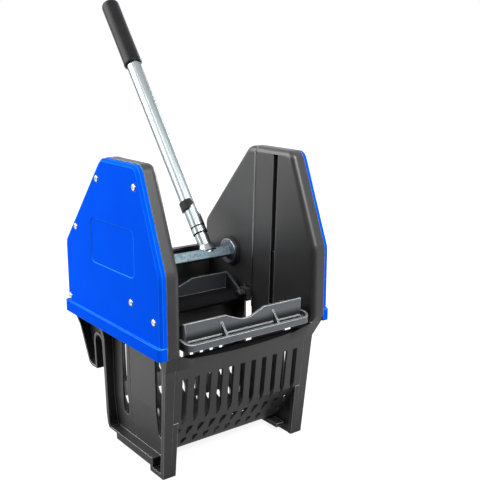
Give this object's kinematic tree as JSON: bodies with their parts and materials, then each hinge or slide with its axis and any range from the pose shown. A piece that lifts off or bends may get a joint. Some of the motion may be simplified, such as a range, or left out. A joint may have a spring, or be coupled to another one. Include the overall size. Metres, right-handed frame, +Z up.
{
  "type": "mop wringer",
  "caption": "Lever-operated down-press mop wringer: slotted basket between two side casings, tilting press plates, cross shaft and long gripped handle.",
  "frame": {"origin": "middle of the plane on which the two casing ledges rest on the bucket rim, half way across and half way along the casings", "axes": "+X to the right as the user faces the press, +Y to the back where the lever leans, +Z up"},
  "size_m": [0.3, 0.5326, 0.6851],
  "materials": {
    "body": "moulded dark grey polypropylene, fine grain",
    "cover": "moulded blue plastic, satin",
    "screw_steel": "bright zinc",
    "plated_steel": "galvanised",
    "bush": "moulded black acetal",
    "gear": "as cast",
    "nylon": "moulded black nylon",
    "press": "moulded dark grey polypropylene, fine grain",
    "grip": "dipped black vinyl",
    "clip": "moulded black nylon"
  },
  "bodies": {
    "base": {"left_side_frame": "body", "right_side_frame": "body", "basket": "body", "back_panel": "body", "left_cover": "cover", "right_cover": "cover", "left_cover_screws": "screw_steel", "right_cover_screws": "screw_steel", "panel_screws": "screw_steel", "left_shaft_bush": "bush", "right_shaft_bush": "bush"},
    "lever": {"lever_shaft": "plated_steel", "left_shaft_end": "plated_steel", "right_shaft_end": "plated_steel", "left_drive_gear": "gear", "right_drive_gear": "gear", "gear_bolts": "screw_steel", "handle_stub": "plated_steel", "stop_collar": "plated_steel", "handle_tube": "plated_steel", "handle_grip": "grip"},
    "carriage": {"left_rack": "nylon", "right_rack": "nylon", "front_press_pins": "plated_steel", "rear_press_pins": "plated_steel", "slot_sliders": "nylon", "pin_caps": "nylon"},
    "front_plate": {"front_press_plate": "press"},
    "rear_plate": {"rear_press_plate": "press"},
    "clip": {"lock_clip": "clip"}
  },
  "joints": [
    {"name": "lever_turn", "type": "hinge", "parent": "base", "child": "lever", "pos_m": [0, 0.0593, 0.0741], "axis": [1, 0, 0], "range_deg": [0, 84]},
    {"name": "carriage_drop", "type": "slide", "parent": "base", "child": "carriage", "axis": [0, 0, -1], "range_m": [0, 0.088]},
    {"name": "front_plate_tilt", "type": "hinge", "parent": "carriage", "child": "front_plate", "pos_m": [0, -0.0855, 0.013], "axis": [-1, 0, 0], "range_deg": [0, 80.05]},
    {"name": "rear_plate_tilt", "type": "hinge", "parent": "carriage", "child": "rear_plate", "pos_m": [0, 0.0135, 0.013], "axis": [1, 0, 0], "range_deg": [0, 80.05]},
    {"name": "clip_pull", "type": "slide", "parent": "lever", "child": "clip", "axis": [-1, 0, 0], "range_m": [0, 0.009]}
  ],
  "couplings": [
    {"joint": "carriage_drop", "follows": "lever_turn", "m_per_rad": 0.06},
    {"joint": "front_plate_tilt", "follows": "lever_turn", "ratio": 0.95238},
    {"joint": "rear_plate_tilt", "follows": "lever_turn", "ratio": 0.95238}
  ]
}
